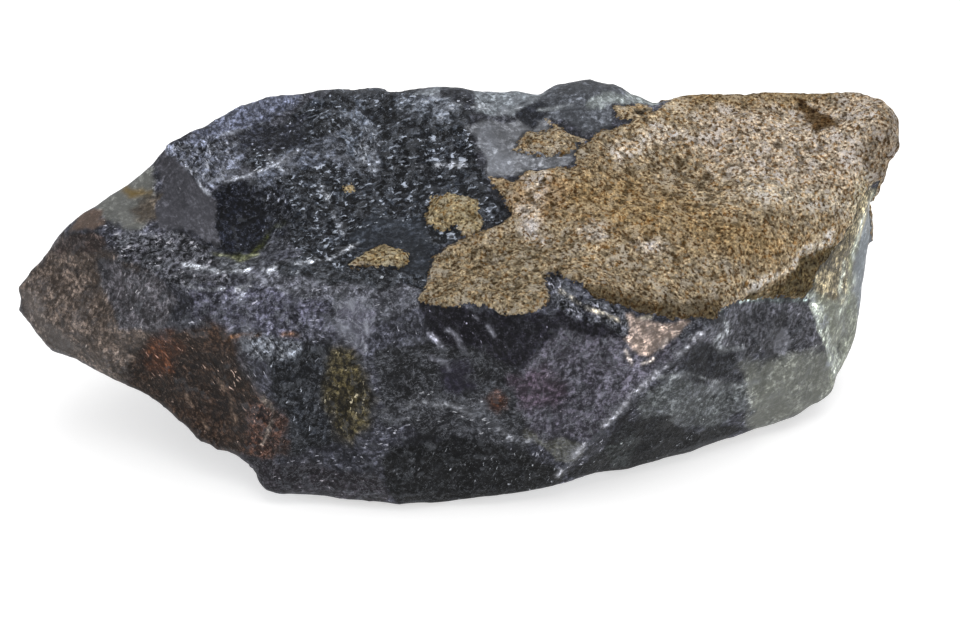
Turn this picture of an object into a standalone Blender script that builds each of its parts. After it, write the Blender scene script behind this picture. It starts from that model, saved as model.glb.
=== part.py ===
"""A broken nodule of dark flint that still carries its sandy rind on the upper right.

The stone is one piece. It lies on a small flat spot with its long axis along X, the
broken front towards -Y and the rind on the upper right. Its origin is on the ground
under its middle.

The form starts as a cage of corners that stand on the stone's ridges. The corners are
joined as the hull of their directions joins them, so hollows between ridges stay
hollow. The cage is then divided finely, rounded where the stone is worn, hollowed by
the scars of the flakes that broke off it, swollen by a few lumps and roughened.
"""

import bmesh
import bpy
import numpy as np

NAME = "flint_nodule"
MM = 0.001

# Half the stone's length, depth and height, and the middle that its corners are seen from, in mm.
HALF_SIZES = np.array([79.0, 41.0, 28.5])
MIDDLE = np.array([0.0, 0.0, 28.5])

# The stone's ridges and the faces between them: how sharp each one stays, from 0 to 1, and its
# corners in mm. Lines run from left to right, or from the top down.
RIDGES = {
    "tip": (0.8, [(-77.5, -9, 27.5)]),
    "crest": (0.75, [
        (-75, -8.5, 30.5), (-70.5, -8, 35), (-67, -7, 38.5), (-63.5, -6, 41.5), (-57, -3, 46),
        (-53, -1, 48.5), (-50, 0, 51), (-45, 2, 52), (-42.5, 5, 53), (-38, 8, 55.5),
        (-33, 10, 56.5), (-22.5, 12, 56.5), (-13.5, 13, 56.5), (-4.5, 13, 57), (4, 14, 55.5),
        (10, 14, 55), (15.5, 16, 54), (19.5, 18, 55.5), (24.5, 19, 55.5), (28.5, 18, 55.5),
        (32, 17, 54), (35.5, 15, 52.5), (42.5, 16, 53.5), (51.5, 17, 53.5), (60.5, 17, 54),
        (67.5, 16, 54), (73, 15, 54), (76.5, 13, 53.5), (78.5, 10, 51.5),
    ]),
    "nose": (0.6, [(78.5, 7, 47.5), (77, 5, 44.5), (74.5, 4, 42)]),
    "right end": (0.6, [(74, 5, 37), (75.5, 5, 29), (75, 4, 20.5), (73.5, 3, 11.5), (71.5, 1, 5)]),
    "right edge": (0.9, [
        (70.5, -2, 34.5), (68, -5, 31.5), (65, -8, 27.5), (62.5, -10, 25.5), (64.5, -9.5, 20.5),
        (66.5, -8.5, 14.5), (68.5, -7, 7.5),
    ]),
    "left ledge": (0.7, [(-66, -10, 39.5), (-59.5, -13, 41), (-54, -13, 41.5), (-45.5, -14, 39.5)]),
    "far ridge": (0.7, [(-45, 0, 52), (-37.5, 2, 53), (-31.5, 4, 53.5), (-27.5, 5, 53.5)]),
    "middle ridge": (0.7, [
        (-48.5, -5, 48.5), (-41.5, -9, 47.5), (-35.5, -7, 47.5), (-29.5, -3, 49.5), (-24, 0, 51.5),
        (-16.5, 0, 50),
    ]),
    "pit rim": (0.6, [(-42.5, -12.5, 42), (-41, -17, 38), (-34.5, -18, 39), (-29, -14, 43), (-30.5, -10, 46.5)]),
    "slope": (0.3, [
        (-24.5, -12, 46), (-18, -6, 48), (-9, -13, 44.5), (-2.5, -3, 51.5), (4.5, 3, 53.5),
        (4, -5, 49.5), (9, -10, 46), (-13.5, -20, 41.5), (-4, -19, 43), (-22.5, -18, 42.5),
    ]),
    "pale hollow": (0.0, [(11.5, 5, 53), (8, -4, 50), (19, -6, 50), (17, 0, 52.5)]),
    "dome foot": (0.2, [(15, 12, 54.5), (18.5, 5, 53), (24, 3, 52), (31, 6, 53), (35.5, 9, 53.5)]),
    "rind": (0.0, [
        (8, -16, 43), (3, -26, 39), (14.5, -21, 41), (25, -11, 45.5), (29, -3, 49.5),
        (24.5, -23, 41), (40, 7, 51), (41, -8, 44), (38.5, -22, 38.5), (50.5, 6, 49.5),
        (55, -7, 43.5), (49, -15, 40), (62, 11, 51), (68.5, 11, 52.5), (70, 3, 48.5),
        (73.5, 6, 51.5), (67.5, -3, 43.5), (64, -8, 38), (56, -15, 35.5),
    ]),
    "rind lip": (0.8, [
        (-4, -22, 40), (-4.5, -29, 38.5), (-5.5, -32.5, 37), (0.5, -34, 37), (6, -35, 37.5),
        (9.5, -36, 36.5), (14.5, -35.5, 37), (16, -34, 38.5), (18.5, -30.5, 40), (24.5, -31.5, 38.5),
        (31, -31.5, 36.5), (39.5, -29, 33.5), (46, -25, 33.5), (49.5, -21.5, 33),
    ]),
    "under the lip": (0.5, [(22, -32, 36.5), (31, -32.5, 33.5), (42.5, -29, 30.5), (50, -21.5, 31)]),
    "shoulder": (0.6, [
        (-57, -17, 36.5), (-51.5, -18, 37), (-44.5, -23, 36.5), (-36, -27, 37.5), (-30, -25, 40),
        (-25.5, -24, 41), (-19, -26, 40), (-13, -29, 38.5),
    ]),
    "left face": (0.3, [
        (-71.5, -13, 27), (-65, -18, 26), (-57, -23, 27.5), (-50, -26, 28.5), (-57, -20.5, 19),
        (-47, -27, 17),
    ]),
    "front corner": (0.7, [(-34, -31.5, 33), (-31, -35, 23.5), (-28.5, -36.5, 17), (-29, -35.5, 9)]),
    "front": (0.3, [
        (-25.5, -32, 37), (-19, -36, 35), (-15.5, -37, 31.5), (-18, -33, 37.5), (-24, -36, 22.5),
        (-21, -36.5, 13), (-15.5, -38, 26.5), (-13, -39, 19.5), (-13.5, -38.5, 10), (-7, -37.5, 32.5),
        (-4, -39.5, 22.5), (-4, -39, 12.5), (4.5, -38, 31), (8, -39, 20), (12.5, -38.5, 32.5),
        (18, -38.5, 22), (9.5, -38, 11), (22.5, -36.5, 30), (29.5, -34.5, 30),
    ]),
    "front ridge": (1.0, [
        (42, -29.5, 30), (38, -31, 26), (33.5, -33, 22), (28.5, -35, 17.5), (23, -36.5, 12.5),
        (18, -37, 6.5),
    ]),
    "right front": (0.2, [
        (49, -24, 26), (56, -18, 22), (46, -25, 17), (55.5, -17.5, 12.5), (61, -13, 18),
        (63.5, -11, 9), (39, -28, 12.5), (32, -29, 6.5),
    ]),
    "foot": (0.75, [
        (-35, -33, 5.5), (-33.5, -34.5, 4), (-32, -36, 3), (-29, -36.5, 2), (-21, -37, 1),
        (-14.5, -37.5, 1), (-9, -38, 0), (-4, -37.5, 0.5), (2, -37, 1.5), (8, -36.5, 2),
        (15.5, -35.5, 2.5), (20.5, -33, 3), (25.5, -30, 2.5), (30.5, -27.5, 1.5), (36, -25, 1.5),
        (43.5, -20.5, 0.5), (50.5, -16.5, 1), (55, -14, 1.5), (61, -11.5, 2.5), (66, -8.5, 3.5),
        (68.5, -6.5, 4.5),
    ]),
    "left underside": (0.75, [
        (-77, -9.5, 24), (-74, -11, 20), (-71.5, -12.5, 17.5), (-66, -15, 16), (-60.5, -17.5, 14.5),
        (-53, -22, 13), (-48, -25.5, 11), (-44, -28.5, 8), (-41, -30, 6.5), (-37, -31.5, 6),
    ]),
    "back shoulder": (0.5, [
        (-70, 1, 31), (-60, 10, 34), (-44, 21, 37), (-25, 28, 42), (-8, 32, 39), (10, 33, 41),
        (28, 34, 38), (46, 31, 42), (64, 28, 39), (75, 22, 41),
    ]),
    "back": (0.3, [
        (-70, 4, 22), (-56, 19, 24), (-40, 31, 24), (-20, 37, 28), (0, 40, 22), (18, 38, 28),
        (38, 40, 24), (56, 37, 25), (72, 27, 27),
    ]),
    "back foot": (0.5, [
        (-60, 6, 14), (-46, 18, 11), (-30, 28, 9), (-12, 33, 8), (8, 36, 6), (30, 35, 8),
        (50, 32, 7), (66, 24, 9), (73, 13, 9),
    ]),
    "underside": (0.2, [
        (-44, -6, 7), (-38, 8, 6), (-62, -4, 15), (-32, -20, 3.5), (-26, -4, 3), (-14, 20, 3.5),
        (10, 24, 3), (34, 20, 3.5), (48, 4, 2.5), (54, 14, 4), (60, -2, 3),
    ]),
    "resting face": (0.0, [
        (-13, -30, 0), (-17, -15, 0), (-11, 0, 0), (1, 10, 0), (16, 12, 0), (29, 8, 0),
        (35, -3, 0), (31, -15, 0), (18, -25, 0), (4, -33, 0), (8, -10, 0),
    ]),
}

# A line at least this sharp gets corners between its own ones until they are this close, in mm.
FILLED_FROM = 0.8
CORNER_STEP = 6.0

# A ridge's sharpness fades away over this distance to either side, in mm.
RIDGE_FADE = 5.0

# Scars of flakes, lumps and pits: the middle in mm, the reach along X, Y and Z in mm, and the
# height in mm, which is below nought for a hollow.
RELIEF = {
    "dark pit": ((-36, -14, 42), (9, 8, 8), -3.5),
    "pale scar": ((14, 0, 51), (10, 10, 8), -1.4),
    "dome": ((25, 12, 54), (11, 9, 8), 1.2),
    "front scar": ((-3, -39, 22), (16, 10, 11), -1.8),
    "front bulb": ((-21, -36, 31), (7, 7, 6), 1.6),
    "olive hollow": ((-21, -37, 19), (6, 8, 11), -1.5),
    "rust scar": ((-48, -27, 20), (15, 12, 13), -1.6),
    "purple scar": ((26, -36, 24), (14, 10, 12), -1.8),
    "right scar": ((54, -20, 22), (14, 12, 11), -1.5),
    "end scar": ((74, 0, 22), (7, 9, 14), -1.2),
    "tip scar": ((-64, -16, 32), (11, 9, 8), -1.4),
    "far left scar": ((-52, -6, 46), (10, 9, 8), -1.6),
    "far scar": ((-34, 4, 53), (11, 8, 6), -1.0),
    "slope scar": ((-12, -6, 48), (14, 11, 9), -1.8),
    "high scar": ((-10, 7, 54), (13, 8, 6), -1.4),
    "low scar": ((-20, -20, 42), (12, 8, 7), -1.2),
    "rind swell": ((26, -16, 43), (15, 12, 9), 1.2),
    "rind hollow": ((40, -2, 47), (15, 10, 8), -1.2),
    "rind shoulder": ((56, -8, 42), (13, 10, 9), 1.2),
    "rind groove": ((65, 12, 53), (8, 5, 6), -1.4),
    "nose knob": ((76, 9, 50), (7, 8, 6), 1.4),
    "back left scar": ((-40, 27, 32), (18, 14, 13), -2.4),
    "back scar": ((2, 38, 32), (20, 10, 14), -3.0),
    "back right scar": ((50, 37, 34), (17, 12, 13), -2.4),
    "back low scar": ((-16, 34, 14), (16, 12, 9), -2.0),
    "back low lump": ((24, 38, 14), (16, 10, 9), 1.6),
    "back end scar": ((72, 22, 18), (12, 14, 12), -2.0),
    "under left scar": ((-52, -8, 12), (16, 14, 10), -2.0),
    "under back scar": ((-26, 20, 6), (16, 12, 8), -1.8),
    "under right scar": ((58, 12, 4), (14, 14, 8), -1.6),
}

# The surface's swells: how far apart they are and how high they rise, in mm.
SWELLS = [(15.0, 0.9), (7.5, 0.4)]

# The facets that small flakes left: how wide they are in mm, how far they lean, and the most that
# they stand out or in, in mm.
FACETS = [(17.0, 0.16, 0.9), (8.5, 0.13, 0.45)]

# The rind is worn round and has no facets: its middle and its reach in mm.
RIND = ((44, -4, 46), (46, 34, 20))

# The surface stands this much further out than the rounding leaves it, in mm.
PROUD = 0.6

# The step that brings the finished stone's box over the origin, in mm.
CENTRING = np.array([-0.88, 0.12, 0.0])

# All relief dies away below this height in mm, which keeps the resting face flat.
FLAT_REACH = 3.5


def filled(corners):
    """The corners of a line with others spread evenly between those that are far apart."""
    line = [corners[0]]
    for start, end in zip(corners, corners[1:]):
        start, end = np.array(start, float), np.array(end, float)
        pieces = int(np.ceil(np.linalg.norm(end - start) / CORNER_STEP))
        line += [start + (end - start) * piece / pieces for piece in range(1, pieces + 1)]
    return line


def cage_corners():
    """All corners as one array in mm, and how sharp each one is."""
    corners, sharpness = [], []
    for sharp, line in RIDGES.values():
        line = filled(line) if sharp >= FILLED_FROM else line
        corners += list(line)
        sharpness += [sharp] * len(line)
    return np.array(corners, float), np.array(sharpness)


def cage_mesh(corners):
    """The corners joined in threes as the hull of their directions, then put back in their real places."""
    directions = (corners - MIDDLE) / HALF_SIZES
    directions /= np.linalg.norm(directions, axis=1, keepdims=True)
    cage = bmesh.new()
    for direction in directions:
        cage.verts.new(direction)
    bmesh.ops.convex_hull(cage, input=cage.verts)
    bmesh.ops.triangulate(cage, faces=cage.faces)
    for vertex, corner in zip(cage.verts, corners):
        vertex.co = corner
    bmesh.ops.beautify_fill(cage, faces=cage.faces, edges=cage.edges, method="AREA")
    return cage


def nearest_sharpness(points, corners, sharpness):
    """How sharp the stone stays at each point: the most that a corner near it gives, fading with distance."""
    distances = np.linalg.norm(points[:, None, :] - corners[None, :, :], axis=2)
    return (sharpness * np.clip(1 - distances / RIDGE_FADE, 0, 1)).max(axis=1)


def softened(points, edges, ease, rounds):
    """The points after some rounds, in each of which a point moves by its ease to its neighbours' mean."""
    counts = np.bincount(edges.ravel(), minlength=len(points))[:, None]
    for _ in range(rounds):
        total = np.zeros_like(points)
        np.add.at(total, edges[:, 0], points[edges[:, 1]])
        np.add.at(total, edges[:, 1], points[edges[:, 0]])
        points = points + ease[:, None] * (total / counts - points)
    return points


def swell(points, size, seed):
    """Smooth random heights from -1 to 1: chance values on a lattice of this size, blended between."""
    lattice = np.random.default_rng(seed).uniform(-1, 1, (24, 24, 24))
    cell = np.floor(points / size).astype(int)
    share = points / size - cell
    share = share * share * (3 - 2 * share)
    height = np.zeros(len(points))
    for corner in np.ndindex(2, 2, 2):
        weight = np.prod(np.where(corner, share, 1 - share), axis=1)
        x, y, z = (cell + corner).T % 24
        height += weight * lattice[x, y, z]
    return height


def facets(points, size, lean, seed):
    """Heights of flat facets: each point takes the slope of the nearest seed of a jittered lattice."""
    chance = np.random.default_rng(seed)
    jitter = chance.uniform(0, 1, (24, 24, 24, 3))
    slopes = chance.uniform(-lean, lean, (24, 24, 24, 3))
    cell = np.floor(points / size).astype(int)
    nearest = np.full(len(points), np.inf)
    height = np.zeros(len(points))
    for step in np.ndindex(3, 3, 3):
        neighbour = cell + step - 1
        x, y, z = neighbour.T % 24
        from_seed = points - (neighbour + jitter[x, y, z]) * size
        distance = np.linalg.norm(from_seed, axis=1)
        closer = distance < nearest
        nearest = np.where(closer, distance, nearest)
        height = np.where(closer, np.sum(from_seed * slopes[x, y, z], axis=1), height)
    return height


def inside(points, middle, reach):
    """1 in the middle of an egg-shaped region, falling to 0 at its reach."""
    return np.clip(1 - np.sum(((points - middle) / reach) ** 2, axis=1), 0, 1)


def relief(points):
    """The height of scars, lumps, swells and facets at each point, in mm."""
    height = np.zeros(len(points))
    for middle, reach, rise in RELIEF.values():
        height += rise * inside(points, middle, reach)
    for seed, (size, rise) in enumerate(SWELLS):
        height += rise * swell(points, size, seed)
    broken = 1 - np.clip(2 * inside(points, *RIND), 0, 1)
    for seed, (size, lean, most) in enumerate(FACETS):
        height += broken * np.clip(facets(points, size, lean, seed), -most, most)
    return height


def outward(points, triangles):
    """The direction straight out of the surface at each point."""
    a, b, c = (points[triangles[:, side]] for side in range(3))
    across = np.cross(b - a, c - a)
    normals = np.zeros_like(points)
    for side in range(3):
        np.add.at(normals, triangles[:, side], across)
    return normals / np.linalg.norm(normals, axis=1, keepdims=True)


def stone_mesh():
    """The finished stone as a bmesh in metres."""
    corners, sharpness = cage_corners()
    stone = cage_mesh(corners)
    for _ in range(2):
        bmesh.ops.subdivide_edges(stone, edges=stone.edges, cuts=1, use_grid_fill=True)
    bmesh.ops.recalc_face_normals(stone, faces=stone.faces)
    stone.verts.index_update()
    points = np.array([vertex.co for vertex in stone.verts], float)
    edges = np.array([[end.index for end in edge.verts] for edge in stone.edges])
    triangles = np.array([[corner.index for corner in face.verts] for face in stone.faces])
    bluntness = 1 - nearest_sharpness(points, corners, sharpness)
    ease = 0.5 * bluntness
    ease[points[:, 2] <= 0] = 0
    points = softened(points, edges, ease, rounds=3)
    height = (PROUD + relief(points) * bluntness) * np.clip(points[:, 2] / FLAT_REACH, 0, 1)
    points += outward(points, triangles) * height[:, None]
    points[:, 2] = np.maximum(points[:, 2], 0)
    for vertex, point in zip(stone.verts, points):
        vertex.co = (point + CENTRING) * MM
    return stone


def flint():
    """Dark violet-grey flint, glassy where it broke."""
    material = bpy.data.materials.new("dark flint")
    material.use_nodes = True
    shader = material.node_tree.nodes["Principled BSDF"]
    shader.inputs["Base Color"].default_value = (0.07, 0.072, 0.095, 1)
    shader.inputs["Roughness"].default_value = 0.5
    shader.inputs["Metallic"].default_value = 0
    return material


for leftover in list(bpy.data.objects):
    bpy.data.objects.remove(leftover)
collection = bpy.data.collections.new(NAME)
bpy.context.scene.collection.children.link(collection)
stone = stone_mesh()
mesh = bpy.data.meshes.new(NAME)
stone.to_mesh(mesh)
stone.free()
mesh.materials.append(flint())
collection.objects.link(bpy.data.objects.new(NAME, mesh))
print("triangles", len(mesh.polygons))
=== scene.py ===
import math

import bmesh
import bpy
import numpy as np
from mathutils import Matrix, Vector


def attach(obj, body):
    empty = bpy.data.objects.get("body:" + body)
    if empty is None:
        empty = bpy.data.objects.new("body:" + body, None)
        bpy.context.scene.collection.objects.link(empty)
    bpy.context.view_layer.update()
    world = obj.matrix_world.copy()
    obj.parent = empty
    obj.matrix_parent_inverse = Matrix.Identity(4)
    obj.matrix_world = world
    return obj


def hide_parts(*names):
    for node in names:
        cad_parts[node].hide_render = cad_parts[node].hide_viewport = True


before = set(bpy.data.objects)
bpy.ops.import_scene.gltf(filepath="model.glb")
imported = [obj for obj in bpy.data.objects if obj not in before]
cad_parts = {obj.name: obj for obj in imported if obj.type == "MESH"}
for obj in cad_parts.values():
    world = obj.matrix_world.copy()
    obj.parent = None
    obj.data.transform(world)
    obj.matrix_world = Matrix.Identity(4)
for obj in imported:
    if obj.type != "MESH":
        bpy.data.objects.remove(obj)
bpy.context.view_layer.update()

# The stone is one broken lump of flint that grew in chalk: ridges left by the breaks that shaped it,
# and the faces between them. Sizes are in mm, from the ground under its middle, and its ridges lie
# within about a millimetre of those of the solid that it replaces.

MM = 0.001
HALF_SIZES = np.array([79.0, 41.0, 28.5])
MIDDLE = np.array([0.0, 0.0, 28.5])

# How sharp each ridge stays, from 0 to 1, and its corners.
RIDGES = {
    "tip": (0.8, [(-77.5, -9, 27.5)]),
    "crest": (0.75, [
        (-75, -8.5, 30.5), (-70.5, -8, 35), (-67, -7, 38.5), (-63.5, -6, 41.5), (-57, -3, 46),
        (-53, -1, 48.5), (-50, 0, 51.5), (-45, 2, 53), (-42.5, 5, 54), (-38, 8, 56.2),
        (-33, 10, 57.2), (-22.5, 12, 57), (-13.5, 13, 57.2), (-4.5, 13, 57.4), (4, 14, 55.7),
        (10, 14, 55.2), (15.5, 16, 53.2), (19.5, 18, 54.8), (24.5, 19, 55.5), (28.5, 18, 54.8),
        (32, 17, 53.2), (35.5, 15, 52.3), (42.5, 16, 53.5), (51.5, 17, 53.5), (60.5, 17, 54),
        (67.5, 16, 54), (73, 15, 54), (76.5, 13, 53.5), (78.5, 10, 51.5),
    ]),
    "nose": (0.6, [(78.5, 7, 47.5), (77, 5, 44.5), (74.5, 4, 42)]),
    "right end": (0.6, [(74, 5, 37), (75.5, 5, 29), (75, 4, 20.5), (73.5, 3, 11.5), (71.5, 1, 5)]),
    "right edge": (0.9, [
        (70.5, -2, 34.5), (68, -5, 31.5), (65, -8, 27.5), (62.5, -10, 25.5), (64.5, -9.5, 20.5),
        (66.5, -8.5, 14.5), (68.5, -7, 7.5),
    ]),
    "left ledge": (0.7, [(-66, -10, 39.5), (-59.5, -13, 41), (-54, -13, 41.5), (-45.5, -14, 39.5)]),
    "far ridge": (0.7, [(-45, 0, 52), (-37.5, 2, 53), (-31.5, 4, 53.5), (-27.5, 5, 53.5)]),
    "middle ridge": (0.7, [
        (-48.5, -5, 48.5), (-41.5, -9, 47.5), (-35.5, -7, 47.5), (-29.5, -3, 49.5), (-24, 0, 51.5),
        (-16.5, 0, 50),
    ]),
    "pit rim": (0.6, [
        (-42.5, -12.5, 42), (-41, -17, 38), (-34.5, -18, 39), (-29, -14, 43), (-30.5, -10, 46.5),
    ]),
    "slope": (0.3, [
        (-24.5, -12, 46), (-18, -6, 48), (-9, -13, 44.5), (-2.5, -3, 51.5), (4.5, 3, 53.5),
        (4, -5, 49.5), (9, -10, 46), (-13.5, -20, 41.5), (-4, -19, 43), (-22.5, -18, 42.5),
    ]),
    "pale hollow": (0.0, [(11.5, 5, 53), (8, -4, 50), (19, -6, 50), (17, 0, 52.5)]),
    "dome foot": (0.2, [(15, 12, 54.5), (18.5, 5, 53), (24, 3, 52), (31, 6, 53), (35.5, 9, 53.5)]),
    "rind": (0.0, [
        (8, -16, 43), (3, -26, 39), (14.5, -21, 41), (25, -11, 45.5), (29, -3, 49.5),
        (24.5, -23, 41), (40, 7, 51), (41, -8, 44), (38.5, -22, 38.5), (50.5, 6, 49.5),
        (55, -7, 43.5), (49, -15, 40), (62, 11, 51), (68.5, 11, 52.5), (70, 3, 48.5),
        (73.5, 6, 51.5), (67.5, -3, 43.5), (64, -8, 38), (56, -15, 35.5),
    ]),
    "rind lip": (0.8, [
        (-4, -22, 40), (-4.5, -29, 38.5), (-5.5, -32.5, 37), (0.5, -34, 37), (6, -35, 37.5),
        (9.5, -36, 36.5), (14.5, -35.5, 37), (16, -34, 38.5), (18.5, -30.5, 40), (24.5, -31.5, 38.5),
        (31, -31.5, 36.5), (39.5, -29, 33.5), (46, -25, 33.5), (49.5, -21.5, 33),
    ]),
    "under the lip": (0.5, [(22, -32, 36.5), (31, -32.5, 33.5), (42.5, -29, 30.5), (50, -21.5, 31)]),
    "shoulder": (0.6, [
        (-57, -17, 36.5), (-51.5, -18, 37), (-44.5, -23, 36.5), (-36, -27, 37.5), (-30, -25, 40),
        (-25.5, -24, 41), (-19, -26, 40), (-13, -29, 38.5),
    ]),
    "left face": (0.3, [
        (-71.5, -13, 27), (-65, -18, 26), (-57, -23, 27.5), (-50, -26, 28.5), (-57, -20.5, 19),
        (-47, -27, 17),
    ]),
    "front corner": (0.7, [(-34, -31.5, 33), (-31, -35, 23.5), (-28.5, -36.5, 17), (-29, -35.5, 9)]),
    "front": (0.3, [
        (-25.5, -32, 37), (-19, -36, 35), (-15.5, -37, 31.5), (-18, -33, 37.5), (-24, -36, 22.5),
        (-21, -36.5, 13), (-15.5, -38, 26.5), (-13, -39, 19.5), (-13.5, -38.5, 10), (-7, -37.5, 32.5),
        (-4, -39.5, 22.5), (-4, -39, 12.5), (4.5, -38, 31), (8, -39, 20), (12.5, -38.5, 32.5),
        (18, -38.5, 22), (9.5, -38, 11), (22.5, -36.5, 30), (29.5, -34.5, 30),
    ]),
    "front ridge": (1.0, [
        (42, -29.5, 30), (38, -31, 26), (33.5, -33, 22), (28.5, -35, 17.5), (23, -36.5, 12.5),
        (18, -37, 6.5),
    ]),
    "right front": (0.2, [
        (49, -24, 26), (56, -18, 22), (46, -25, 17), (55.5, -17.5, 12.5), (61, -13, 18),
        (63.5, -11, 9), (39, -28, 12.5), (32, -29, 6.5),
    ]),
    "foot": (0.75, [
        (-35, -33, 5.5), (-33.5, -34.5, 4), (-32, -36, 3), (-29, -36.5, 2), (-21, -37, 1),
        (-14.5, -37.5, 1), (-9, -38, 0.4), (-4, -37.5, 0.6), (2, -37, 1.5), (8, -36.5, 2),
        (15.5, -35.5, 2.5), (20.5, -33, 3), (25.5, -30, 2.5), (30.5, -27.5, 1.5), (36, -25, 1.5),
        (43.5, -20.5, 0.5), (50.5, -16.5, 1), (55, -14, 1.5), (61, -11.5, 2.5), (66, -8.5, 3.5),
        (68.5, -6.5, 4.5),
    ]),
    "left underside": (0.75, [
        (-77.6, -9.5, 23), (-74, -11, 19.4), (-71.5, -12.5, 16.8), (-66, -15, 15.2), (-60.5, -17.5, 13.6),
        (-53, -22, 12), (-48, -25.5, 10), (-44, -28.5, 7.3), (-41, -30, 6.5), (-37, -31.5, 6),
    ]),
    "back shoulder": (0.5, [
        (-70, 1, 31), (-60, 10, 34), (-44, 21, 37), (-25, 28, 42), (-8, 32, 39), (10, 33, 41),
        (28, 34, 38), (46, 31, 42), (64, 28, 39), (75, 22, 41),
    ]),
    "back": (0.3, [
        (-70, 4, 22), (-56, 19, 24), (-40, 31, 24), (-20, 37, 28), (0, 40, 22), (18, 38, 28),
        (38, 40, 24), (56, 37, 25), (72, 27, 27),
    ]),
    "back foot": (0.5, [
        (-60, 6, 14), (-46, 18, 11), (-30, 28, 9), (-12, 33, 8), (8, 36, 6), (30, 35, 8),
        (50, 32, 7), (66, 24, 9), (73, 13, 9),
    ]),
    "underside": (0.2, [
        (-44, -6, 7), (-38, 8, 6), (-62, -4, 15), (-32, -20, 3.5), (-26, -4, 3), (-14, 20, 3.5),
        (10, 24, 3), (34, 20, 3.5), (48, 4, 2.5), (54, 14, 4), (60, -2, 3),
    ]),
    "resting face": (0.0, [
        (-13, -30, 0), (-17, -15, 0), (-11, 0, 0), (1, 10, 0), (16, 12, 0), (29, 8, 0),
        (35, -3, 0), (31, -15, 0), (18, -25, 0), (4, -33, 0), (8, -10, 0),
    ]),
}

# A ridge at least this sharp gets more corners, so that none is further than a step from the next.
FILLED_FROM = 0.8
CORNER_STEP = 6.0

# A ridge at least this sharp is a line from corner to corner, kept along its whole length. The others
# are lone corners. The fades say how far from a ridge the surface stays sharp, and free of facets.
LINE_FROM = 0.4
LINE_STEP = 1.5
RIDGE_FADE = 5.0
CALM_FADE = 8.0

# Each facet of the cage is a grid of this many steps, which keeps the stone under 200,000 triangles.
# Its points are then eased: so many times, each goes this share of the way to its neighbours' mean.
GRID_STEPS = 19
ROUNDINGS = 60
EASE = 0.5


def filled(corners, step):
    """The corners of a line with others spread evenly between those that are far apart."""
    line = [np.array(corners[0], float)]
    for start, end in zip(corners, corners[1:]):
        start, end = np.array(start, float), np.array(end, float)
        pieces = int(np.ceil(np.linalg.norm(end - start) / step))
        line += [start + (end - start) * piece / pieces for piece in range(1, pieces + 1)]
    return line


def cage():
    """The corners, and their joins in threes: those of the hull of their directions."""
    corners = []
    for sharp, line in RIDGES.values():
        corners += filled(line, CORNER_STEP) if sharp >= FILLED_FROM else line
    corners = np.array(corners, float)
    directions = (corners - MIDDLE) / HALF_SIZES
    directions /= np.linalg.norm(directions, axis=1, keepdims=True)
    hull = bmesh.new()
    for direction in directions:
        hull.verts.new(direction)
    bmesh.ops.convex_hull(hull, input=hull.verts)
    bmesh.ops.triangulate(hull, faces=hull.faces)
    for vertex, corner in zip(hull.verts, corners):
        vertex.co = corner
    bmesh.ops.beautify_fill(hull, faces=hull.faces, edges=hull.edges, method="AREA")
    bmesh.ops.recalc_face_normals(hull, faces=hull.faces)
    hull.verts.index_update()
    joins = np.array([[corner.index for corner in face.verts] for face in hull.faces])
    hull.free()
    return corners, joins


def facet_grids(corners, joins, steps):
    """Each facet as a grid: a point is a blend of the three corners, by whole shares u, v and the rest.

    Points on a side that two facets share get the same tag, a sum over their corners, and are merged.
    """
    u, v = np.nonzero(np.add.outer(np.arange(steps + 1), np.arange(steps + 1)) <= steps)
    shares = np.stack([steps - u - v, u, v], axis=1)
    points = np.einsum("gk,fkx->fgx", shares / steps, corners[joins]).reshape(-1, 3)
    chance = np.random.default_rng(1).integers(1, 2**62, len(corners), dtype=np.uint64)
    tags = (shares[None].astype(np.uint64) * chance[joins][:, None, :]).sum(axis=2, dtype=np.uint64)
    _, first, merged = np.unique(tags.ravel(), return_index=True, return_inverse=True)
    place = np.full((steps + 2, steps + 2), -1)
    place[u, v] = np.arange(len(u))
    lower = place[u, v], place[u + 1, v], place[u, v + 1]
    upper = place[u + 1, v], place[u + 1, v + 1], place[u, v + 1]
    cells = np.concatenate([np.stack(lower, axis=1), np.stack(upper, axis=1)])
    cells = cells[(cells >= 0).all(axis=1)]
    triangles = cells[None] + (np.arange(len(joins)) * len(u))[:, None, None]
    return points[first], merged[triangles.reshape(-1, 3)]


def sides(triangles):
    """Every side between two points, once."""
    pairs = np.concatenate([triangles[:, [0, 1]], triangles[:, [1, 2]], triangles[:, [2, 0]]])
    return np.unique(np.sort(pairs, axis=1), axis=0)


def neighbour_mean(values, edges):
    """The mean over each point's neighbours of an array with one row a point."""
    size = len(values)
    ends, others = np.concatenate([edges[:, 0], edges[:, 1]]), np.concatenate([edges[:, 1], edges[:, 0]])
    counts = np.bincount(ends, minlength=size)
    columns = [np.bincount(ends, column[others], minlength=size) / counts for column in values.T]
    return np.stack(columns, axis=1)


corners, joins = cage()
points, triangles = facet_grids(corners, joins, GRID_STEPS)
edges = sides(triangles)
bluntness, calm = np.ones(len(points)), np.ones(len(points))
for sharp, line in RIDGES.values():
    distance = np.full(len(points), np.inf)
    for stop in filled(line, LINE_STEP) if sharp >= LINE_FROM else line:
        distance = np.minimum(distance, np.linalg.norm(points - stop, axis=1))
    bluntness = np.minimum(bluntness, 1 - sharp * np.clip(1 - distance / RIDGE_FADE, 0, 1))
    calm = np.minimum(calm, 1 - sharp * np.clip(1 - distance / CALM_FADE, 0, 1))
ease = np.where(points[:, 2] <= 0, 0, EASE * bluntness)
for _ in range(ROUNDINGS):
    points = points + ease[:, None] * (neighbour_mean(points, edges) - points)
form = points

# The broken faces
# Flint breaks in shallow scars with lumps, steps and small leaning facets between them. Each scar or
# lump has its middle, its reach and its height in mm, and a height below nought is a hollow.

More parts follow.
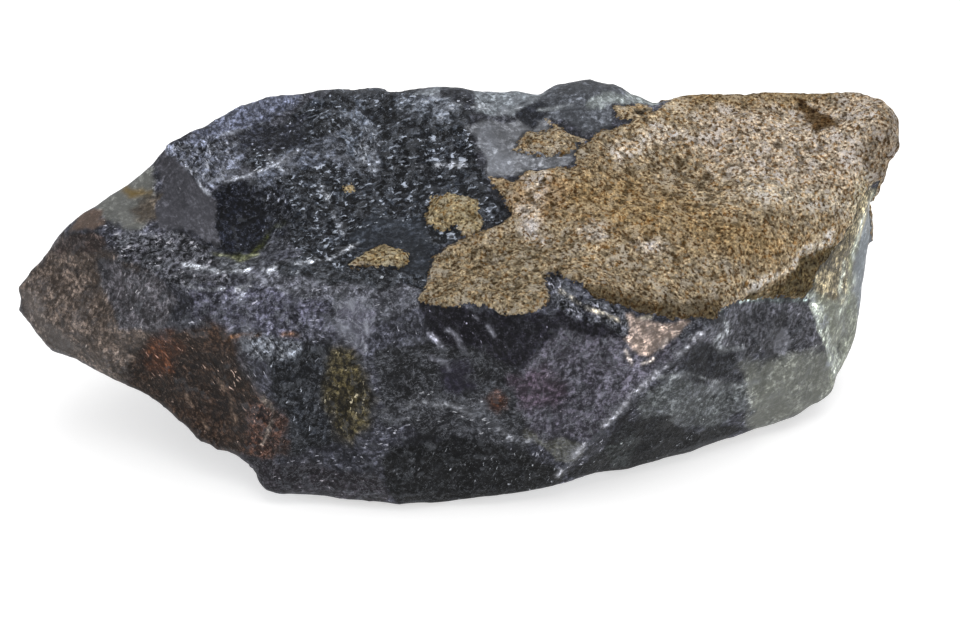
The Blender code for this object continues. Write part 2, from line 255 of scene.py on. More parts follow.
RELIEF = {
    "dark pit": ((-36, -14, 42), (9, 8, 8), -2.4),
    "pale scar": ((14, 0, 51), (10, 10, 8), -1.4),
    "dome": ((25, 13, 54), (10, 9, 8), 2.2),
    "front scar": ((-3, -39, 22), (16, 10, 11), -1.8),
    "front bulb": ((-21, -36, 31), (7, 7, 6), 1.6),
    "olive hollow": ((-21, -37, 19), (6, 8, 11), -1.5),
    "rust scar": ((-48, -27, 20), (15, 12, 13), -1.6),
    "purple scar": ((26, -36, 24), (14, 10, 12), -1.8),
    "right scar": ((54, -20, 22), (14, 12, 11), -1.5),
    "end scar": ((74, 0, 22), (7, 9, 14), -1.2),
    "tip scar": ((-64, -16, 32), (11, 9, 8), -1.4),
    "far left scar": ((-52, -6, 46), (10, 9, 8), -1.6),
    "far scar": ((-34, 4, 53), (11, 8, 6), -1.0),
    "slope scar": ((-12, -6, 48), (14, 11, 9), -1.8),
    "high scar": ((-10, 7, 54), (13, 8, 6), -1.4),
    "low scar": ((-20, -20, 42), (12, 8, 7), -1.2),
    "rind swell": ((26, -16, 43), (15, 12, 9), 1.2),
    "rind hollow": ((40, -2, 47), (15, 10, 8), -1.2),
    "rind shoulder": ((56, -8, 42), (13, 10, 9), 1.2),
    "rind groove": ((65, 12, 53), (8, 5, 6), -1.4),
    "nose knob": ((76, 9, 50), (7, 8, 6), 1.4),
    "back left scar": ((-40, 27, 32), (18, 14, 13), -2.4),
    "back scar": ((2, 38, 32), (20, 10, 14), -3.0),
    "back right scar": ((50, 37, 34), (17, 12, 13), -2.4),
    "back low scar": ((-16, 34, 14), (16, 12, 9), -2.0),
    "back low lump": ((24, 38, 14), (16, 10, 9), 1.6),
    "back end scar": ((72, 22, 18), (12, 14, 12), -2.0),
    "under left scar": ((-52, -8, 12), (16, 14, 10), -2.0),
    "under back scar": ((-26, 20, 6), (16, 12, 8), -1.8),
    "under right scar": ((58, 12, 4), (14, 14, 8), -1.6),
}
SWELLS = [(15.0, 0.9), (7.5, 0.4)]
FACETS = [(17.0, 0.16, 0.9), (8.5, 0.13, 0.45)]
FACET_ROUNDINGS = 14
WORN_RIND = ((44, -4, 46), (46, 34, 20))

# The faces stand this far out to make up for what the easing took off. All relief fades out over the
# last few mm above the ground, so that the flat spot stays flat.
PROUD = 0.6
FLAT_REACH = 3.5

# The lattices of chance values have so many cells a side, and then repeat.
LATTICE = 24


def outward(points, triangles):
    """The direction straight out of the surface at each point."""
    a, b, c = (points[triangles[:, side]] for side in range(3))
    across = np.cross(b - a, c - a)
    normals = np.zeros_like(points)
    for axis in range(3):
        for side in range(3):
            normals[:, axis] += np.bincount(triangles[:, side], across[:, axis], minlength=len(points))
    return normals / np.linalg.norm(normals, axis=1, keepdims=True)


def swell(points, size, seed):
    """Smooth random heights from -1 to 1: chance values on a lattice of this size, blended between."""
    lattice = np.random.default_rng(seed).uniform(-1, 1, (LATTICE, LATTICE, LATTICE))
    cell = np.floor(points / size).astype(int)
    share = points / size - cell
    share = share * share * (3 - 2 * share)
    height = np.zeros(len(points))
    for corner in np.ndindex(2, 2, 2):
        weight = np.prod(np.where(corner, share, 1 - share), axis=1)
        x, y, z = (cell + corner).T % LATTICE
        height += weight * lattice[x, y, z]
    return height


def drift(first_seed, swells):
    """Swells added up over the stone: each has its size and its height, and takes the next seed."""
    return sum(rise * swell(form, size, seed) for seed, (size, rise) in enumerate(swells, first_seed))


def facets(points, size, lean, seed):
    """Heights of flat facets: each point takes the slope of the nearest seed of a jittered lattice.

    Each facet has a tone of its own too, from 0 to 1.
    """
    chance = np.random.default_rng(seed)
    jitter = chance.uniform(0, 1, (LATTICE, LATTICE, LATTICE, 3))
    slopes = chance.uniform(-lean, lean, (LATTICE, LATTICE, LATTICE, 3))
    tones = chance.uniform(0, 1, (LATTICE, LATTICE, LATTICE))
    cell = np.floor(points / size).astype(int)
    nearest = np.full(len(points), np.inf)
    height, tone = np.zeros(len(points)), np.zeros(len(points))
    for step in np.ndindex(3, 3, 3):
        neighbour = cell + step - 1
        x, y, z = neighbour.T % LATTICE
        from_seed = points - (neighbour + jitter[x, y, z]) * size
        distance = np.linalg.norm(from_seed, axis=1)
        closer = distance < nearest
        nearest = np.where(closer, distance, nearest)
        height = np.where(closer, np.sum(from_seed * slopes[x, y, z], axis=1), height)
        tone = np.where(closer, tones[x, y, z], tone)
    return height, tone


def inside(points, middle, reach):
    """1 in the middle of an egg-shaped region, falling to 0 at its reach."""
    return np.clip(1 - np.sum(((points - middle) / reach) ** 2, axis=1), 0, 1)


height = PROUD + calm * drift(0, SWELLS)
for middle, reach, rise in RELIEF.values():
    height += bluntness * rise * inside(form, middle, reach)
broken = 1 - np.clip(2 * inside(form, *WORN_RIND), 0, 1)
facet_tones = []
for seed, (size, lean, most) in enumerate(FACETS):
    lift, facet_tone = facets(form, size, lean, seed)
    height += calm * broken * np.clip(lift, -most, most)
    facet_tones.append(facet_tone)
for _ in range(FACET_ROUNDINGS):
    height = neighbour_mean(height[:, None], edges)[:, 0]
flatness = np.clip(form[:, 2] / FLAT_REACH, 0, 1)
body = form + outward(form, triangles) * (height * flatness)[:, None]
body[:, 2] = np.maximum(body[:, 2], 0)
body_out = outward(body, triangles)

# The picture's view
# The stone is seen a little from above, with its long side across. Marks are read off the picture,
# 960 pixels wide, and lie on the surface where the line of sight through them meets it.

LENS = 85.0
SENSOR = 36.0
PICTURE_WIDTH = 960
PICTURE_HEIGHT = 618
ELEVATION = math.radians(28)
EYE_DISTANCE = 412.0
EYE_TARGET = np.array([4.5, 0.0, 18.5])
SIGHT = np.array([0.0, math.cos(ELEVATION), -math.sin(ELEVATION)])
SIGHT_UP = np.array([0.0, math.sin(ELEVATION), math.cos(ELEVATION)])
EYE = EYE_TARGET - EYE_DISTANCE * SIGHT
FOCAL_PIXELS = LENS / SENSOR * PICTURE_WIDTH
PIXELS_PER_MM = FOCAL_PIXELS / EYE_DISTANCE

# A face counts as out of the picture, or in it, where this much of it turns to the eye.
OUT_OF_VIEW, IN_VIEW = -0.3, -0.1


def smooth_step(value, low, high):
    """0 below low, 1 above high, and an S-shaped rise between."""
    share = np.clip((value - low) / (high - low), 0, 1)
    return share * share * (3 - 2 * share)


def picture_places(points):
    """Where each point shows in the picture, in pixels from its top left corner."""
    away = points - EYE
    depth = away @ SIGHT
    across = PICTURE_WIDTH / 2 + FOCAL_PIXELS * away[:, 0] / depth
    down = PICTURE_HEIGHT / 2 - FOCAL_PIXELS * (away @ SIGHT_UP) / depth
    return np.stack([across, down], axis=1)


def line_distance(places, line):
    """The distance in mm from a line of straight stretches drawn on the picture."""
    line = np.array(line, float)
    nearest = np.full(len(places), np.inf)
    for start, end in zip(line, line[1:]):
        along = end - start
        share = np.clip((places - start) @ along / (along @ along), 0, 1)
        nearest = np.minimum(nearest, np.linalg.norm(places - start - share[:, None] * along, axis=1))
    return nearest / PIXELS_PER_MM


def inside_outline(places, outline):
    """The distance in mm from an outline drawn on the picture, above nought inside it."""
    crossings = np.zeros(len(places), bool)
    for start, end in zip(outline, outline[1:] + outline[:1]):
        spans = (start[1] > places[:, 1]) != (end[1] > places[:, 1])
        rise = end[1] - start[1] or 1
        meets = start[0] + (end[0] - start[0]) * (places[:, 1] - start[1]) / rise
        crossings ^= spans & (places[:, 0] < meets)
    nearest = line_distance(places, outline + outline[:1])
    return np.where(crossings, nearest, -nearest)


places = picture_places(body)
sight_lines = EYE - body
facing = np.sum(body_out * sight_lines, axis=1) / np.linalg.norm(sight_lines, axis=1)
in_view = smooth_step(facing, OUT_OF_VIEW, IN_VIEW)

# The rind
# A crust of lime and silica, sand-like and up to a millimetre thick, that the nodule grew and that
# the breaks left on the upper right: one large sheet with a ragged edge, and a few islands.

RIND_SHEET = [
    (674, 96), (652, 110), (631, 120), (610, 129), (594, 133), (589, 140), (581, 144), (575, 154),
    (573, 166), (547, 169), (526, 171), (514, 179), (493, 176), (488, 176), (493, 188), (503, 200),
    (509, 215), (499, 222), (484, 230), (467, 237), (442, 249), (432, 255), (428, 272), (425, 289),
    (418, 300), (430, 305), (453, 307), (470, 306), (490, 308), (500, 312), (509, 316), (522, 314),
    (537, 313), (547, 306), (551, 298), (546, 288), (544, 277), (556, 272), (566, 279), (582, 283),
    (592, 297), (624, 308), (650, 315), (666, 319), (687, 320), (708, 320), (719, 317), (724, 309),
    (738, 301), (761, 298), (784, 298), (805, 299), (812, 287), (817, 276), (821, 266), (832, 253),
    (842, 238), (853, 222), (859, 205), (866, 196), (874, 184), (905, 176), (915, 40), (690, 40),
]
RIND_ISLANDS = {
    "upper": [
        (545, 117), (556, 121), (564, 129), (585, 137), (594, 141), (579, 146), (573, 150), (560, 154),
        (547, 155), (535, 153), (522, 152), (511, 150), (518, 140), (526, 131), (543, 131), (551, 127),
    ],
    "crest": [
        (612, 106), (628, 104), (640, 104), (652, 106), (655, 113), (640, 119), (625, 121), (616, 118),
    ],
    "left": [
        (423, 215), (430, 196), (448, 194), (461, 195), (477, 198), (479, 207), (478, 213), (484, 222),
        (482, 228), (470, 238), (463, 236), (455, 228), (444, 231), (436, 228), (425, 222),
    ],
    "low": [
        (345, 262), (362, 255), (372, 247), (385, 243), (398, 247), (408, 254), (407, 262), (398, 268),
        (380, 266), (362, 265), (350, 267),
    ],
    "dot": [(343, 186), (349, 183), (355, 187), (354, 192), (347, 193)],
}
RIND_RAGGED = [(2.6, 0.35), (1.1, 0.25)]
RIND_HEIGHT = 0.55

# The rind rises to its full height between these distances from its edge.
RIND_RISE = (-0.15, 0.75)

# Over the crest and down the back the rind goes on to a ragged slanting line, which starts here on
# the crest and falls to the right.
RIND_BACK_START = (33.0, 54.0)
RIND_BACK_SLOPE = math.radians(34)
RIND_BACK_RAGGED = [(12.0, 5.0), (5.0, 2.5)]

rind_front = inside_outline(places, RIND_SHEET)
for outline in RIND_ISLANDS.values():
    rind_front = np.maximum(rind_front, inside_outline(places, outline))
rind_back = (form[:, 0] - RIND_BACK_START[0]) * math.sin(RIND_BACK_SLOPE)
rind_back += (form[:, 2] - RIND_BACK_START[1]) * math.cos(RIND_BACK_SLOPE)
rind_back += drift(40, RIND_BACK_RAGGED)
rind = rind_back + (rind_front - rind_back) * in_view + drift(50, RIND_RAGGED)
rind_cover = smooth_step(rind, *RIND_RISE)

# Colouring
# Flint is dark where it is clear and thick, pale and milky where it is thin or full of fine cracks,
# and brown where iron has soaked in. Lengths are in mm, and angles in degrees.

FLECK_BRIGHTNESS = 0.6

# The ways that three sets of flecks lie, and how far a patch brings in its own.
FLECK_LIES = (10.0, 70.0, 130.0)
LAY_SHARE = 0.8

# The flint between the patches: its colour, its flecks from 0 to 1, and the way that they lie.
BASE_FLINT = ("#34353d", 0.45, 20)

# The flint out of the picture: its darkest, its palest and its brown.
HIDDEN_DARK = "#111216"
HIDDEN_PALE = "#66686e"
HIDDEN_BROWN = "#33271f"

# Each patch has its colour, the softness of its edge, its pale flecks and its milky film, both from
# 0 to 1, the way that its flecks lie, and its outline.
FLINT_PATCHES = {
    "left tip": ("#4a413b", 3.0, 0.35, 0.15, 80, [
        (10, 285), (60, 235), (105, 250), (150, 262), (165, 300), (150, 345), (130, 390), (90, 375),
        (35, 345)]),
    "tip grey": ("#403e42", 1.0, 0.35, 0.4, 80, [
        (98, 262), (160, 268), (175, 300), (160, 335), (118, 330), (104, 300)]),
    "tip rim": ("#57504c", 1.5, 0.1, 0.2, 60, [
        (20, 292), (34, 290), (48, 318), (76, 348), (60, 352), (34, 330)]),
    "pale corner": ("#686966", 1.4, 0.0, 0.1, 30, [
        (88, 200), (120, 180), (150, 165), (157, 190), (150, 214), (140, 228), (112, 226), (97, 212)]),
    "yellow stain": ("#75623a", 1.5, 0.0, 0.0, 0, [
        (124, 188), (140, 186), (156, 189), (150, 197), (130, 197)]),
    "brown corner": ("#5e5048", 0.8, 0.05, 0.1, 60, [
        (66, 232), (76, 216), (94, 204), (104, 216), (112, 226), (82, 232)]),
    "brown haze": ("#4a433b", 1.5, 0.1, 0.1, 40, [
        (128, 208), (140, 196), (166, 190), (184, 198), (186, 214), (150, 220), (132, 218)]),
    "dark brown": ("#332b29", 0.8, 0.35, 0.05, 20, [
        (50, 250), (68, 232), (110, 230), (108, 248), (80, 254)]),
    "dark slope": ("#101318", 0.8, 0.85, 0.2, 20, [
        (236, 156), (300, 104), (340, 84), (420, 84), (468, 116), (488, 176), (509, 215), (484, 230),
        (442, 249), (430, 256), (427, 292), (400, 290), (345, 283), (305, 262), (286, 225), (262, 188)]),
    "pit": ("#0d0f16", 0.8, 0.5, 0.0, 90, [
        (206, 192), (230, 182), (252, 180), (262, 196), (268, 214), (280, 222), (266, 240), (252, 252),
        (236, 257), (206, 262)]),
    "pit side": ("#15171d", 1.5, 0.7, 0.1, 60, [
        (250, 176), (284, 182), (296, 214), (280, 240), (264, 222), (262, 196)]),
    "round facet": ("#3f3f45", 0.6, 0.15, 0.0, 90, [
        (155, 162), (172, 148), (190, 160), (184, 186), (160, 193)]),
    "smooth band": ("#434349", 0.6, 0.05, 0.1, 120, [
        (178, 165), (198, 182), (208, 188), (215, 200), (216, 214), (213, 226), (214, 240), (190, 232),
        (160, 226), (152, 200), (165, 195)]),
    "white facet": ("#4f5360", 0.6, 0.85, 0.8, 110, [
        (168, 148), (196, 137), (245, 140), (256, 150), (232, 172), (212, 190), (196, 178), (182, 162)]),
    "far slope": ("#4c5060", 0.6, 0.5, 0.45, 60, [
        (192, 140), (205, 118), (240, 98), (300, 86), (302, 108), (262, 120), (232, 131)]),
    "dark band": ("#1e2028", 0.6, 0.5, 0.1, 20, [
        (234, 132), (276, 121), (304, 116), (300, 142), (262, 150), (242, 146)]),
    "grey crescent": ("#3c404a", 0.8, 0.6, 0.7, 35, [
        (244, 172), (300, 150), (342, 128), (380, 150), (372, 178), (330, 158), (290, 170), (262, 186)]),
    "swirl": ("#3a3f48", 1.0, 0.8, 0.8, 130, [
        (330, 110), (362, 96), (384, 140), (378, 178), (352, 168), (344, 134)]),
    "blue black": ("#282c33", 1.0, 0.25, 0.05, 20, [
        (366, 206), (424, 222), (440, 250), (424, 276), (398, 270), (346, 240)]),
    "pit ledge": ("#404246", 0.5, 0.5, 0.5, 5, [
        (184, 252), (210, 256), (240, 259), (262, 256), (244, 274), (204, 268)]),
    "striped ledge": ("#34343a", 1.5, 0.85, 0.7, 5, [
        (110, 232), (186, 232), (212, 256), (230, 285), (180, 290), (120, 262)]),
    "far crest": ("#777d83", 0.6, 0.35, 0.6, 20, [
        (408, 92), (440, 80), (475, 84), (550, 86), (545, 97), (520, 112), (496, 118), (470, 110),
        (448, 106)]),
    "crest grey": ("#545962", 0.6, 0.6, 0.5, 10, [
        (396, 98), (440, 92), (462, 100), (474, 120), (440, 122), (400, 112)]),
    "crest dark": ("#23252b", 0.5, 0.45, 0.1, 20, [
        (438, 88), (470, 86), (484, 106), (464, 118), (462, 100), (440, 98)]),
    "smooth pale": ("#6c6e73", 0.6, 0.2, 0.35, 40, [
        (466, 126), (490, 118), (530, 114), (560, 128), (585, 140), (573, 166), (520, 173), (488, 177),
        (481, 150)]),
    "pale left": ("#7c7f86", 1.5, 0.15, 0.5, 40, [
        (470, 128), (492, 122), (500, 150), (512, 168), (490, 176), (480, 150)]),
    "dome": ("#484b51", 0.4, 0.25, 0.08, 20, [
        (514, 113), (545, 90), (565, 76), (602, 76), (640, 90), (660, 104), (617, 106), (617, 122),
        (600, 133), (585, 136), (560, 122), (545, 117), (530, 122)]),
    "dome corner": ("#1e2026", 0.8, 0.3, 0.0, 40, [
        (512, 114), (524, 106), (540, 102), (546, 110), (534, 126), (522, 126)]),
    "dome light": ("#747a7a", 0.6, 0.3, 0.6, 160, [
        (590, 104), (604, 92), (622, 88), (642, 92), (664, 106), (612, 106)]),
    "shoulder light": ("#4b4c54", 0.8, 0.5, 0.9, 10, [
        (246, 272), (300, 262), (345, 275), (425, 288), (422, 303), (384, 322), (340, 330), (330, 302),
        (300, 300), (262, 290)]),
    "shoulder dark": ("#24272c", 1.0, 0.6, 0.3, 30, [
        (262, 262), (300, 258), (350, 268), (400, 276), (392, 284), (340, 284), (286, 276)]),
    "below the shoulder": ("#434350", 0.9, 0.55, 0.55, 30, [
        (190, 285), (262, 288), (330, 302), (335, 335), (290, 345), (236, 330), (190, 318)]),
    "bulb": ("#54545f", 1.2, 0.15, 0.8, 100, [
        (336, 304), (352, 298), (372, 306), (376, 330), (362, 350), (345, 345), (334, 325)]),
    "violet dark": ("#0e0d14", 0.9, 0.25, 0.08, 130, [
        (420, 303), (500, 312), (545, 312), (592, 302), (640, 330), (610, 372), (520, 370), (440, 350)]),
    "front grey": ("#1c1d20", 0.9, 0.3, 0.4, 15, [
        (376, 350), (430, 345), (470, 352), (530, 380), (560, 410), (520, 450), (420, 440), (380, 400)]),
    "violet spot": ("#1f1d28", 1.8, 0.05, 0.1, 90, [
        (440, 366), (466, 362), (474, 390), (456, 396), (442, 388)]),
    "dark corner": ("#121418", 0.8, 0.5, 0.2, 70, [
        (262, 356), (300, 340), (332, 345), (326, 395), (334, 440), (292, 452), (284, 420), (268, 395)]),
    "white film": ("#5c6068", 0.8, 0.9, 1.0, 120, [
        (240, 338), (262, 334), (302, 342), (300, 356), (262, 362), (244, 352)]),
    "rust": ("#221812", 2.2, 0.35, 0.05, 115, [
        (124, 372), (140, 346), (152, 335), (176, 326), (215, 318), (238, 338), (245, 372), (270, 400),
        (286, 420), (284, 455), (262, 466), (215, 455), (180, 430), (120, 395)]),
    "rust red": ("#4a2c1c", 2.6, 0.4, 0.0, 115, [
        (144, 356), (152, 337), (166, 332), (180, 348), (168, 370), (150, 370)]),
    "rust rim": ("#35221a", 2.0, 0.6, 0.1, 80, [
        (244, 404), (262, 396), (284, 412), (286, 446), (262, 462), (246, 448)]),
    "olive": ("#2e2919", 2.2, 0.55, 0.05, 80, [
        (332, 348), (352, 350), (364, 372), (374, 402), (372, 432), (352, 446), (336, 432), (326, 395)]),
    "film band": ("#2b2c30", 0.6, 0.35, 0.5, 20, [
        (376, 416), (392, 404), (430, 392), (470, 398), (500, 390), (498, 412), (520, 426), (542, 434),
        (524, 448), (484, 446), (456, 436), (440, 424), (410, 420), (384, 430)]),
    "dark hollow": ("#141519", 0.8, 0.15, 0.0, 60, [
        (396, 440), (416, 430), (438, 436), (442, 452), (412, 458)]),
    "pale wedge": ("#45453f", 0.6, 0.3, 0.5, 150, [
        (524, 436), (540, 424), (562, 434), (590, 450), (572, 466), (556, 462), (542, 448)]),
    "low mottled": ("#090a0c", 0.9, 0.4, 0.05, 60, [
        (390, 446), (470, 438), (520, 450), (562, 472), (556, 500), (470, 510), (400, 515), (380, 480)]),
    "foot": ("#1f1d21", 0.9, 0.25, 0.3, 20, [
        (236, 458), (292, 462), (380, 474), (402, 520), (285, 510), (240, 490)]),
    "purple": ("#3d3b44", 0.9, 0.45, 0.45, 40, [
        (562, 330), (640, 345), (698, 340), (640, 396), (592, 442), (540, 440), (516, 400), (530, 362)]),
    "purple red": ("#38303a", 2.0, 0.4, 0.1, 40, [
        (510, 380), (545, 368), (572, 385), (560, 408), (524, 410)]),
    "orange spot": ("#50301f", 1.8, 0.6, 0.0, 0, [
        (486, 400), (496, 394), (506, 402), (500, 411), (490, 410)]),
    "pink": ("#93837a", 0.9, 0.3, 0.2, 20, [
        (598, 313), (628, 321), (628, 340), (632, 351), (650, 360), (664, 347), (688, 322), (660, 324),
        (640, 318)]),
    "under lip": ("#1f2027", 1.0, 0.9, 0.8, 130, [
        (546, 276), (560, 274), (592, 298), (624, 312), (628, 336), (592, 322), (556, 308)]),
    "right dark": ("#3a3a40", 0.6, 0.5, 0.3, 40, [
        (704, 330), (724, 312), (740, 301), (806, 299), (818, 325), (830, 352), (800, 356), (760, 352),
        (720, 387), (690, 387), (672, 370)]),
    "right darker": ("#141519", 1.2, 0.4, 0.1, 40, [
        (676, 370), (700, 345), (740, 344), (736, 380), (700, 386)]),
    "right pale": ("#6a6c66", 2.5, 0.05, 0.25, 20, [
        (744, 366), (800, 352), (830, 350), (842, 388), (820, 410), (756, 436), (745, 412)]),
    "green grey": ("#454849", 1.2, 0.3, 0.5, 30, [
        (636, 402), (676, 372), (700, 386), (744, 378), (756, 412), (715, 426), (690, 432), (640, 424)]),
    "right black": ("#090a0c", 0.8, 0.32, 0.04, 60, [
        (572, 476), (600, 448), (622, 420), (654, 418), (700, 430), (742, 425), (710, 462), (620, 480)]),
    "right chips": ("#6f7276", 0.4, 0.2, 0.3, 60, [
        (706, 386), (712, 376), (724, 380), (722, 392), (710, 394)]),
    "right oval": ("#66676e", 0.4, 0.1, 0.3, 90, [
        (776, 336), (784, 330), (788, 346), (786, 356), (776, 352)]),
    "low film": ("#181b1b", 0.5, 0.4, 0.2, 60, [
        (600, 440), (616, 446), (634, 436), (640, 446), (624, 454), (628, 466), (612, 462), (604, 452)]),
    "right end": ("#777a6f", 0.4, 0.15, 0.4, 95, [
        (812, 287), (822, 262), (842, 238), (866, 190), (890, 200), (890, 300), (850, 395), (836, 388),
        (828, 350), (816, 310)]),
    "end glass": ("#7f858a", 1.0, 0.0, 0.1, 95, [
        (852, 260), (866, 205), (890, 200), (880, 290), (858, 320)]),
    "end edge": ("#94998f", 0.5, 0.4, 0.9, 80, [
        (810, 296), (818, 290), (830, 330), (842, 366), (834, 372), (824, 345)]),
    "edge layers": ("#756c57", 1.6, 0.5, 0.2, 80, [
        (858, 196), (870, 190), (866, 222), (855, 250), (852, 286), (840, 300), (818, 300), (816, 276),
        (834, 248)]),
}
PATCH_RAGGED = [(5.0, 0.9), (2.0, 0.6), (0.9, 0.4)]

# Thin marks: pale edges of scars, cracks and stains, and painted light: the glints are painted
# highlights, and the front ridge has a painted highlight on one side and painted shade on the other. Each
# has its colour, half its width, how much of it shows, and its line. A mark is so many times brighter
# than its colour, and strays so many pixels.
MARK_STRENGTH = 1.5
MARK_STRAYS = 2.5
THIN_MARKS = {
    "moss": ("#25280c", 0.4, 1.0, [(236, 257), (252, 252), (264, 243), (274, 231), (283, 222)]),
    # A painted highlight: the glint along the ledge.
    "ledge glint": ("#b9bdc6", 0.35, 1.0, [(232, 290), (250, 278), (274, 266)]),
    "ledge line": ("#a2a6ae", 0.22, 0.8, [(184, 262), (210, 268), (236, 272), (262, 268)]),
    "ledge stripe": ("#a8acb4", 0.22, 0.8, [(186, 286), (206, 290), (232, 289)]),
    "pit lower rim": ("#5d5f4a", 0.22, 0.8, [(212, 254), (240, 258), (258, 254)]),
    "pit upper rim": ("#8f939d", 0.22, 0.8, [(224, 180), (246, 174), (272, 164), (300, 150)]),
    "facet rim": ("#8f939d", 0.22, 0.7, [(184, 164), (194, 178), (210, 192)]),
    "far edge": ("#868b98", 0.22, 0.7, [(206, 139), (232, 131), (262, 121)]),
    # A painted highlight: a long thin glint.
    "long glint": ("#8f939c", 0.22, 0.9, [(396, 168), (412, 165), (440, 164), (466, 165)]),
    "left arc": ("#8b909a", 0.22, 0.7, [(322, 186), (330, 200), (334, 218), (342, 232)]),
    "streak one": ("#9a9faa", 0.22, 0.9, [(348, 128), (360, 142), (376, 160)]),
    "streak two": ("#9a9faa", 0.22, 0.8, [(356, 148), (366, 164), (378, 176)]),
    "streak three": ("#8d929c", 0.22, 0.7, [(264, 148), (272, 162), (284, 170)]),
    "shoulder edge": ("#8a8e96", 0.22, 0.8, [(300, 262), (330, 256), (360, 240)]),
    "shoulder rim": ("#7d8089", 0.22, 0.7, [(262, 262), (246, 284), (238, 300)]),
    "bulb crest": ("#9b9ea8", 0.22, 0.8, [(364, 302), (366, 320), (366, 350)]),
    "bulb ring": ("#8c8f99", 0.22, 0.8, [(336, 320), (342, 326), (352, 328)]),
    "bulb white": ("#a9adb6", 0.22, 0.8, [(342, 306), (352, 304), (358, 312)]),
    "ripple one": ("#7c7d88", 0.22, 0.8, [(428, 334), (436, 340), (442, 350)]),
    "ripple two": ("#7c7d88", 0.22, 0.8, [(446, 330), (456, 336), (464, 352)]),
    "ripple three": ("#7c7d88", 0.22, 0.7, [(474, 318), (486, 324), (494, 336)]),
    "ripple four": ("#7c7d88", 0.22, 0.7, [(430, 360), (444, 364), (454, 376)]),
    "low arc": ("#74767c", 0.22, 0.8, [
        (384, 412), (420, 402), (460, 410), (500, 430), (520, 446), (548, 430)]),
    "olive crack": ("#121216", 0.22, 1.0, [(358, 366), (366, 384), (372, 404), (372, 424)]),
    "orange thread": ("#6a4a2c", 0.22, 0.8, [(226, 338), (262, 336), (300, 334)]),
    "rust line one": ("#6d5c50", 0.22, 0.8, [(218, 380), (228, 400), (234, 422)]),
    "rust line two": ("#6d5c50", 0.22, 0.8, [(186, 396), (196, 412), (206, 430)]),
    "rust ring": ("#7a7068", 0.22, 0.8, [(250, 404), (262, 400), (272, 412), (268, 430), (260, 446)]),
    # The front ridge is painted light: a painted highlight along its left side and painted shade along
    # its right.
    "front ridge painted highlight": ("#8c8d94", 0.35, 0.9, [
        (704, 330), (684, 350), (660, 372), (640, 392), (610, 420), (584, 446), (560, 474)]),
    "front ridge painted shade": ("#0c0c10", 0.6, 0.9, [
        (690, 352), (668, 376), (650, 394), (622, 420), (596, 446), (574, 472)]),
    "pink lower edge": ("#a39a94", 0.22, 0.9, [(628, 352), (636, 366), (650, 360), (668, 340)]),
    "lip fringe": ("#a59e90", 0.22, 0.8, [(562, 290), (584, 308), (600, 314), (626, 322), (652, 318)]),
    "right upper edge": ("#7e8a88", 0.22, 0.9, [(724, 313), (734, 304), (744, 301), (806, 300)]),
    "right edge line": ("#a3a9a3", 0.22, 0.9, [(812, 296), (820, 322), (828, 350)]),
    "right wisp": ("#75787c", 0.35, 0.8, [(722, 318), (730, 330), (716, 344), (726, 352), (742, 346)]),
    "pale ridge low": ("#6d7072", 0.22, 0.7, [(660, 378), (690, 374), (730, 388), (770, 378)]),
    "layer one": ("#8f866c", 0.25, 1.0, [(867, 196), (858, 226), (848, 254), (838, 296)]),
    "layer two": ("#4a4230", 0.22, 1.0, [(862, 200), (852, 232), (842, 256), (828, 298)]),
    "layer three": ("#a29a80", 0.22, 0.9, [(866, 214), (860, 236), (852, 262), (848, 292)]),
    "dome line": ("#8b9094", 0.22, 0.9, [(540, 108), (566, 104), (592, 104), (612, 104)]),
    "dome left edge": ("#7d8288", 0.22, 0.9, [(512, 114), (530, 102), (545, 92)]),
    "end fibre one": ("#9ba199", 0.22, 0.9, [(846, 262), (840, 290), (842, 320)]),
    "end fibre two": ("#5f6552", 0.22, 0.8, [(856, 240), (850, 280), (850, 310)]),
    "end fibre three": ("#a4aaa4", 0.22, 0.9, [(862, 215), (856, 250), (856, 285)]),
    "crest line": ("#8f9399", 0.22, 0.9, [(448, 104), (476, 104), (500, 112), (520, 108)]),
}

